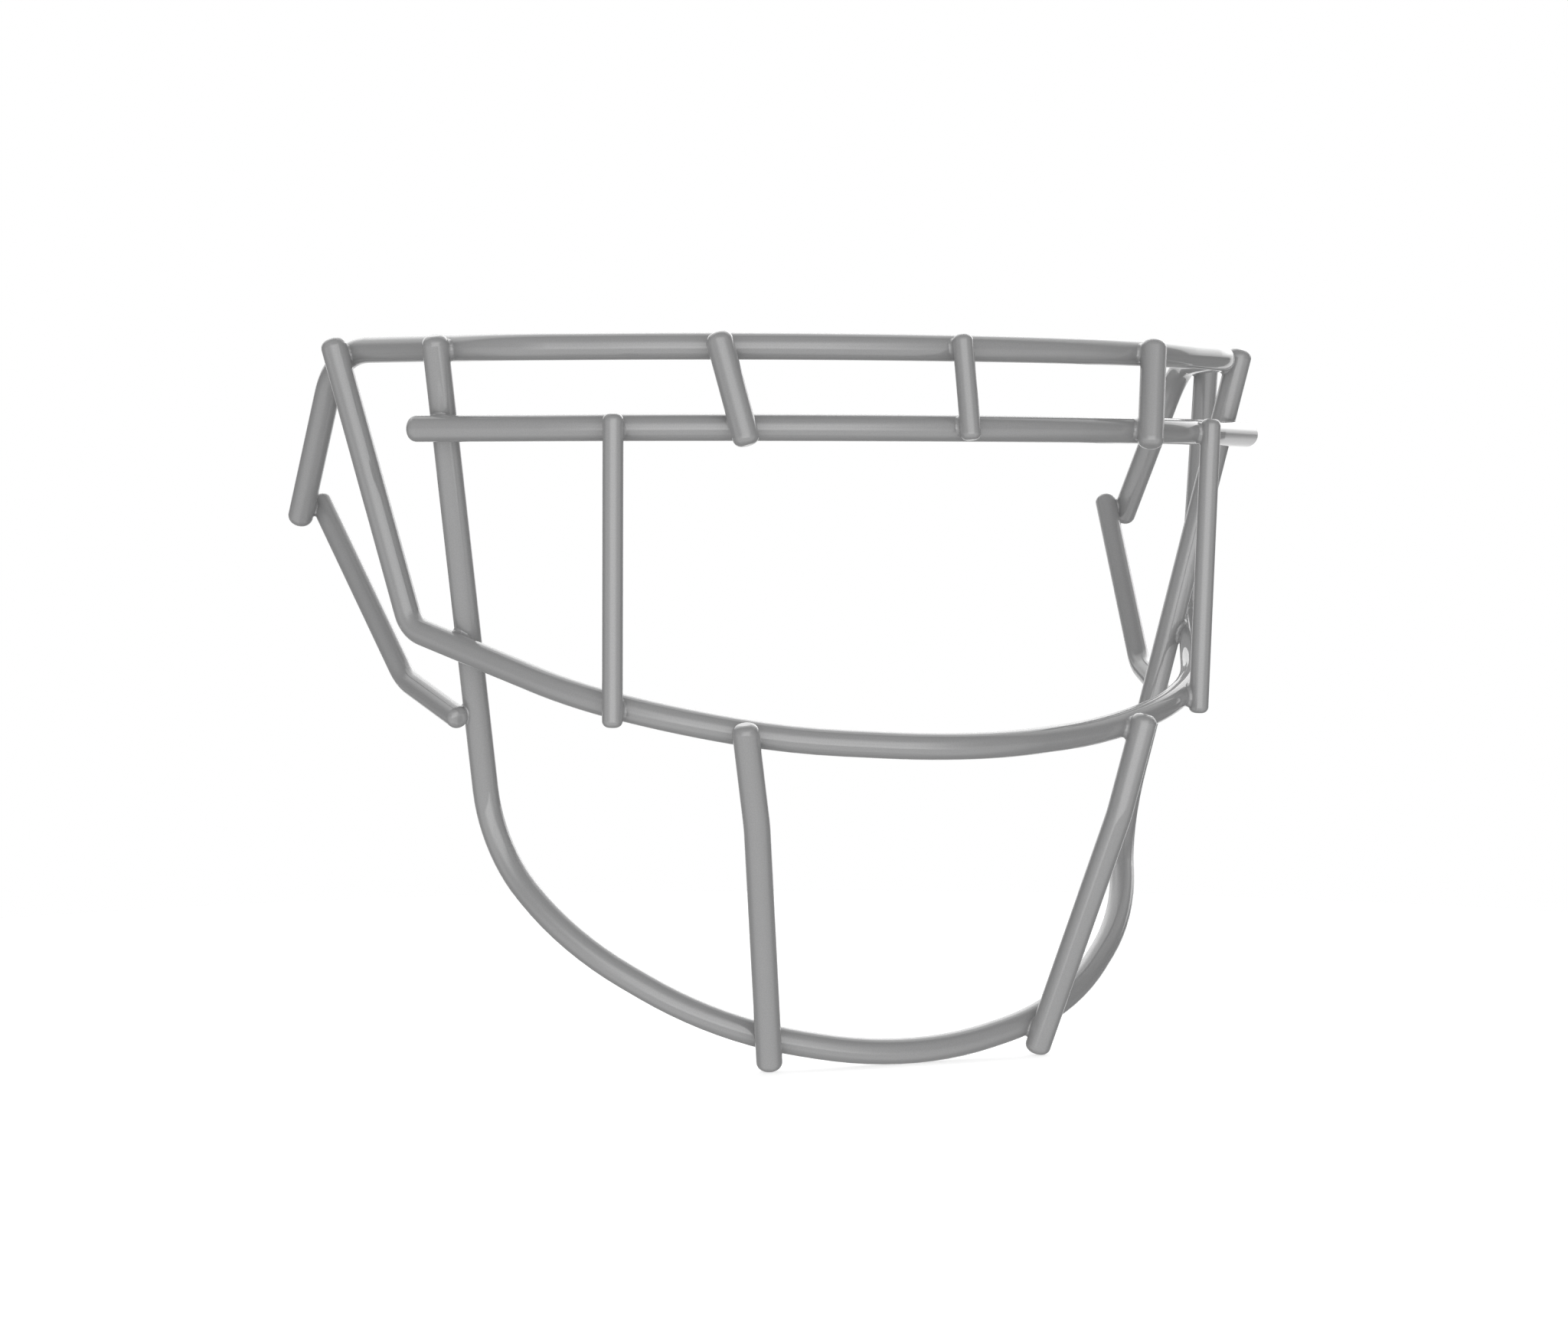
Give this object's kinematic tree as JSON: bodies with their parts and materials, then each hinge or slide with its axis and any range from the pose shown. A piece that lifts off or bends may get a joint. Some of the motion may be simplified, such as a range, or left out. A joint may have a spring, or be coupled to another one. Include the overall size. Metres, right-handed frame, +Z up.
{
  "type": "football helmet facemask",
  "caption": "Open facemask of bent round wires, welded where they cross: bars over the brow and mouth, a chin curve with long posts, and hooks back to the temples.",
  "frame": {"origin": "bottom centre of the box round the mask", "axes": "+Z up, -Y to the front of the face, +X to the right as seen from the front"},
  "size_m": [0.2524, 0.1414, 0.1766],
  "materials": {
    "coated_wire": "grey powder coat, satin, with a fine grain",
    "coated_weld": "the same grey coat, run smooth over the weld beads"
  },
  "bodies": {
    "root": {"brow_bar": "coated_wire", "brow_post_centre": "coated_wire", "brow_post_left": "coated_wire", "brow_post_right": "coated_wire", "chin_wire": "coated_wire", "crossbar": "coated_wire", "eye_post_left": "coated_wire", "eye_post_right": "coated_wire", "lower_post_left": "coated_wire", "lower_post_right": "coated_wire", "middle_wire": "coated_wire", "side_hook_left": "coated_wire", "side_hook_right": "coated_wire", "weld_brow_bar_brow_post_centre": "coated_weld", "weld_brow_bar_brow_post_left": "coated_weld", "weld_brow_bar_brow_post_right": "coated_weld", "weld_brow_bar_chin_wire_left": "coated_weld", "weld_brow_bar_chin_wire_right": "coated_weld", "weld_brow_bar_middle_wire_left": "coated_weld", "weld_brow_bar_middle_wire_right": "coated_weld", "weld_brow_bar_side_hook_left": "coated_weld", "weld_brow_bar_side_hook_right": "coated_weld", "weld_chin_wire_crossbar_left": "coated_weld", "weld_chin_wire_crossbar_right": "coated_weld", "weld_chin_wire_lower_post_left": "coated_weld", "weld_chin_wire_lower_post_right": "coated_weld", "weld_chin_wire_middle_wire_left": "coated_weld", "weld_chin_wire_middle_wire_right": "coated_weld", "weld_chin_wire_side_hook_left": "coated_weld", "weld_chin_wire_side_hook_right": "coated_weld", "weld_crossbar_brow_post_centre": "coated_weld", "weld_crossbar_brow_post_left": "coated_weld", "weld_crossbar_brow_post_right": "coated_weld", "weld_crossbar_eye_post_left": "coated_weld", "weld_crossbar_eye_post_right": "coated_weld", "weld_middle_wire_eye_post_left": "coated_weld", "weld_middle_wire_eye_post_right": "coated_weld", "weld_middle_wire_lower_post_left": "coated_weld", "weld_middle_wire_lower_post_right": "coated_weld"}
  },
  "joints": []
}
